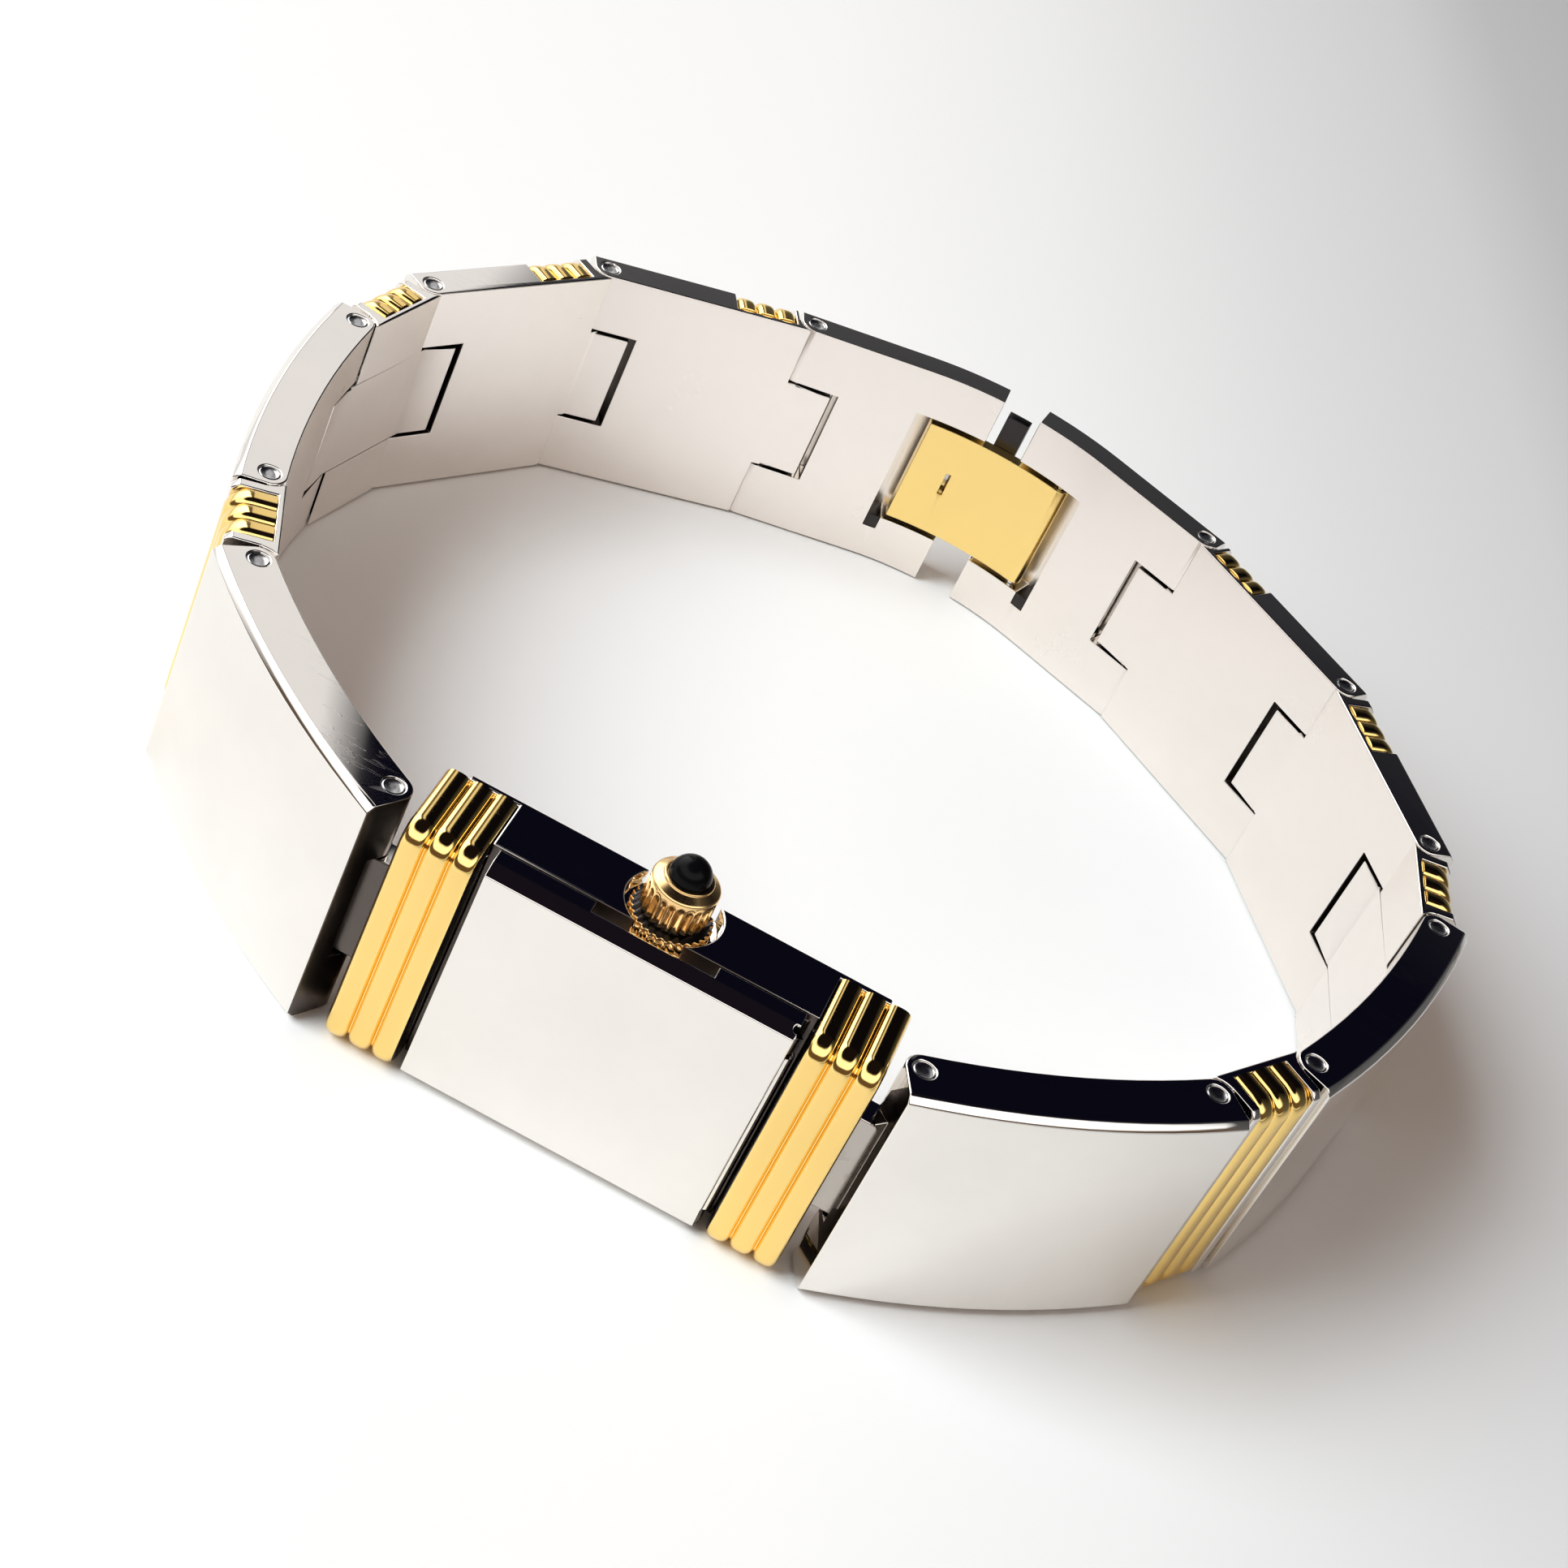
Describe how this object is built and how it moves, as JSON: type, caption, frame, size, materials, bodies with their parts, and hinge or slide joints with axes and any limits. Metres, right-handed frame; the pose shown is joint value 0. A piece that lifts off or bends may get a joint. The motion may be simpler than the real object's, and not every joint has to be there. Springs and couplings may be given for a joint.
{
  "type": "bracelet watch",
  "caption": "Bracelet watch: hinged steel cover over a small rectangular dial, crests of gold ribs, a band of hinged polished plates and ribbed bars, side crown with a black stone, leaf clasp.",
  "frame": {"origin": "middle of the case's lower side, in the plane of its mid thickness; the part stands on its edge", "axes": "+Z across the band, up as it stands; +X along the case to the viewer's right; -Y is the front, out of the cover; +Y goes through the wrist to the clasp"},
  "size_m": [0.0624, 0.0562, 0.0155],
  "materials": {
    "polished_steel": "mirror polished outside, satin inside",
    "pin_steel": "satin",
    "dark_steel": "satin, darkened",
    "gold_ribs": "polished gold plating",
    "gold_satin": "satin gold plating",
    "gilt": "polished",
    "black_stone": "polished black stone, glossy",
    "crystal": "clear",
    "dial": "satin ivory",
    "rubber": "matte",
    "plastic": "matte",
    "brass": "matte",
    "cell": "satin"
  },
  "bodies": {
    "case": {"case_body": "polished_steel", "case_back": "polished_steel", "back_screws": "pin_steel", "back_gasket": "rubber", "end_ribs_left": "gold_ribs", "end_ribs_right": "gold_ribs", "cover_pin": "pin_steel", "crystal": "crystal", "crystal_gasket": "plastic", "dial": "dial", "hour_markers": "gilt", "movement": "brass", "movement_ring": "plastic", "battery": "cell", "crown_tube": "brass"},
    "cover": {"cover": "polished_steel"},
    "winding_stem": {"stem": "pin_steel"},
    "crown": {"crown": "gold_satin", "crown_stone": "black_stone", "crown_gasket": "rubber"},
    "minute_hand": {"minute_hand": "gilt"},
    "hour_hand": {"hour_hand": "gilt"},
    "left_plate_1": {"plate_l1": "polished_steel", "pins_l1": "pin_steel"},
    "left_bar_1": {"bar_l1": "polished_steel", "ribs_l1": "gold_ribs"},
    "left_plate_2": {"plate_l2": "polished_steel", "pins_l2": "pin_steel"},
    "left_bar_2": {"bar_l2": "polished_steel", "ribs_l2": "gold_ribs"},
    "left_plate_3": {"plate_l3": "polished_steel", "pin_l3": "pin_steel", "ribs_l3": "gold_ribs"},
    "left_plate_4": {"plate_l4": "polished_steel", "pin_l4": "pin_steel", "ribs_l4": "gold_ribs"},
    "left_clasp_plate": {"plate_l5": "polished_steel", "pin_l5": "pin_steel", "catch_peg": "pin_steel", "stop_l5": "dark_steel"},
    "right_plate_1": {"plate_r1": "polished_steel", "pins_r1": "pin_steel"},
    "right_bar_1": {"bar_r1": "polished_steel", "ribs_r1": "gold_ribs"},
    "right_plate_2": {"plate_r2": "polished_steel", "pins_r2": "pin_steel"},
    "right_bar_2": {"bar_r2": "polished_steel", "ribs_r2": "gold_ribs"},
    "right_plate_3": {"plate_r3": "polished_steel", "pin_r3": "pin_steel", "ribs_r3": "gold_ribs"},
    "right_plate_4": {"plate_r4": "polished_steel", "pin_r4": "pin_steel", "ribs_r4": "gold_ribs"},
    "right_clasp_plate": {"plate_r5": "polished_steel", "pin_r5": "pin_steel", "leaf_pin": "pin_steel", "stop_r5": "dark_steel"},
    "clasp_leaf": {"clasp_leaf": "gold_satin", "lift_bar": "dark_steel"}
  },
  "joints": [
    {"name": "left_hinge_1", "type": "hinge", "parent": "case", "child": "left_plate_1", "pos_m": [-0.01218, -0.00045, 0.0064], "axis": [0, 0, 1], "range_deg": [0, 31]},
    {"name": "left_hinge_2", "type": "hinge", "parent": "left_plate_1", "child": "left_bar_1", "pos_m": [-0.02291, 0.00854, 0.0064], "axis": [0, 0, 1], "range_deg": [0, 19.11]},
    {"name": "left_hinge_3", "type": "hinge", "parent": "left_bar_1", "child": "left_plate_2", "pos_m": [-0.02531, 0.01448, 0.0064], "axis": [0, 0, 1], "range_deg": [0, 4.63]},
    {"name": "left_hinge_4", "type": "hinge", "parent": "left_plate_2", "child": "left_bar_2", "pos_m": [-0.02758, 0.0288, 0.0064], "axis": [0, 0, 1], "range_deg": [0, 13.07]},
    {"name": "left_hinge_5", "type": "hinge", "parent": "left_bar_2", "child": "left_plate_3", "pos_m": [-0.0262, 0.03505, 0.0064], "axis": [0, 0, 1], "range_deg": [0, 20.35]},
    {"name": "left_hinge_6", "type": "hinge", "parent": "left_plate_3", "child": "left_plate_4", "pos_m": [-0.01994, 0.04469, 0.0064], "axis": [0, 0, 1], "range_deg": [0, 31.27]},
    {"name": "left_hinge_7", "type": "hinge", "parent": "left_plate_4", "child": "left_clasp_plate", "pos_m": [-0.00929, 0.04978, 0.0064], "axis": [0, 0, 1], "range_deg": [0, 7.68]},
    {"name": "right_hinge_1", "type": "hinge", "parent": "case", "child": "right_plate_1", "pos_m": [0.01218, -0.00045, 0.0064], "axis": [0, 0, -1], "range_deg": [0, 24.05]},
    {"name": "right_hinge_2", "type": "hinge", "parent": "right_plate_1", "child": "right_bar_1", "pos_m": [0.02392, 0.00717, 0.0064], "axis": [0, 0, -1], "range_deg": [0, 12.16]},
    {"name": "right_hinge_3", "type": "hinge", "parent": "right_bar_1", "child": "right_plate_2", "pos_m": [0.02769, 0.01235, 0.0064], "axis": [0, 0, -1], "range_deg": [0, 11.58]},
    {"name": "right_hinge_4", "type": "hinge", "parent": "right_plate_2", "child": "right_bar_2", "pos_m": [0.03169, 0.02628, 0.0064], "axis": [0, 0, -1], "range_deg": [0, 20.02]},
    {"name": "right_hinge_5", "type": "hinge", "parent": "right_bar_2", "child": "right_plate_3", "pos_m": [0.03031, 0.03253, 0.0064], "axis": [0, 0, -1], "range_deg": [0, 20.35]},
    {"name": "right_hinge_6", "type": "hinge", "parent": "right_plate_3", "child": "right_plate_4", "pos_m": [0.02405, 0.04218, 0.0064], "axis": [0, 0, -1], "range_deg": [0, 21.16]},
    {"name": "right_hinge_7", "type": "hinge", "parent": "right_plate_4", "child": "right_clasp_plate", "pos_m": [0.01447, 0.04907, 0.0064], "axis": [0, 0, -1], "range_deg": [0, 14.4]},
    {"name": "leaf_hinge", "type": "hinge", "parent": "right_clasp_plate", "child": "clasp_leaf", "pos_m": [0.00641, 0.05173, 0.0064], "axis": [0, 0, 1], "range_deg": [0, 100]},
    {"name": "cover_hinge", "type": "hinge", "parent": "case", "child": "cover", "pos_m": [0.00689, -0.00185, 0.0064], "axis": [0, 0, 1], "range_deg": [0, 90]},
    {"name": "crown_pull", "type": "slide", "parent": "case", "child": "winding_stem", "axis": [0, 0, 1], "range_m": [0, 0.0008]},
    {"name": "crown_turn", "type": "hinge", "parent": "winding_stem", "child": "crown", "pos_m": [0.00015, 0.0011, 0.0135], "axis": [0, 0, 1], "continuous": true},
    {"name": "minute_turn", "type": "hinge", "parent": "case", "child": "minute_hand", "pos_m": [0, -0.0007, 0.0064], "axis": [0, 1, 0], "continuous": true},
    {"name": "hour_turn", "type": "hinge", "parent": "case", "child": "hour_hand", "pos_m": [0, -0.0005, 0.0064], "axis": [0, 1, 0], "continuous": true}
  ],
  "couplings": [
    {"joint": "left_hinge_2", "follows": "left_hinge_1", "ratio": 0.61641},
    {"joint": "left_hinge_3", "follows": "left_hinge_1", "ratio": 0.14933},
    {"joint": "left_hinge_4", "follows": "left_hinge_1", "ratio": 0.42155},
    {"joint": "left_hinge_5", "follows": "left_hinge_1", "ratio": 0.65653},
    {"joint": "left_hinge_6", "follows": "left_hinge_1", "ratio": 1.0088},
    {"joint": "left_hinge_7", "follows": "left_hinge_1", "ratio": 0.24778},
    {"joint": "right_hinge_1", "follows": "left_hinge_1", "ratio": 0.77582},
    {"joint": "right_hinge_2", "follows": "left_hinge_1", "ratio": 0.39222},
    {"joint": "right_hinge_3", "follows": "left_hinge_1", "ratio": 0.37351},
    {"joint": "right_hinge_4", "follows": "left_hinge_1", "ratio": 0.64573},
    {"joint": "right_hinge_5", "follows": "left_hinge_1", "ratio": 0.65653},
    {"joint": "right_hinge_6", "follows": "left_hinge_1", "ratio": 0.68241},
    {"joint": "right_hinge_7", "follows": "left_hinge_1", "ratio": 0.46438},
    {"joint": "hour_turn", "follows": "minute_turn", "ratio": 0.083333}
  ]
}
